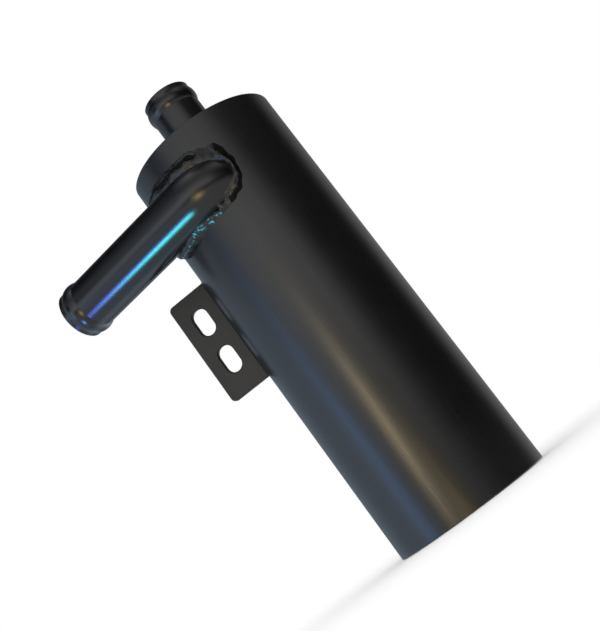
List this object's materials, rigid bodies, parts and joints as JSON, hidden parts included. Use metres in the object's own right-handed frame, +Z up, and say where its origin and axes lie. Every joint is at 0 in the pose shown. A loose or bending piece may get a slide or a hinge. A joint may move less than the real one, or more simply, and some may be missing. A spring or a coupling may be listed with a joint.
{
  "type": "oil catch can",
  "caption": "Slim round welded aluminium oil catch can with a beaded hose tail on top, an elbowed inlet tail high on its side and a slotted fin bracket.",
  "frame": {"origin": "centre of the base, where the can stands", "axes": "+Z up the can's axis to the outlet tail, -X out along the bracket's fin, +Y through the bracket's slots"},
  "size_m": [0.1343, 0.0849, 0.2407],
  "materials": {
    "satin_black_anodised": "satin black anodised",
    "polished_black_anodised": "polished, then black anodised",
    "matte_black_anodised": "matte black anodised sheet",
    "black_anodised_weld": "rippled weld, black anodised with the rest",
    "plain_aluminium": "plain soft aluminium",
    "black_oxide_steel": "black oxide"
  },
  "bodies": {
    "root": {"body_tube": "satin_black_anodised", "top_plate": "satin_black_anodised", "base_plate": "satin_black_anodised", "top_plate_weld": "black_anodised_weld", "base_plate_weld": "black_anodised_weld", "top_spigot": "polished_black_anodised", "top_spigot_weld": "black_anodised_weld", "side_spigot": "polished_black_anodised", "side_spigot_weld": "black_anodised_weld", "bracket": "matte_black_anodised", "bracket_weld": "black_anodised_weld", "baffle_plate": "matte_black_anodised", "baffle_tacks": "black_anodised_weld", "drain_boss": "satin_black_anodised", "drain_boss_weld": "black_anodised_weld", "drain_washer": "plain_aluminium", "drain_plug": "black_oxide_steel"}
  },
  "joints": []
}
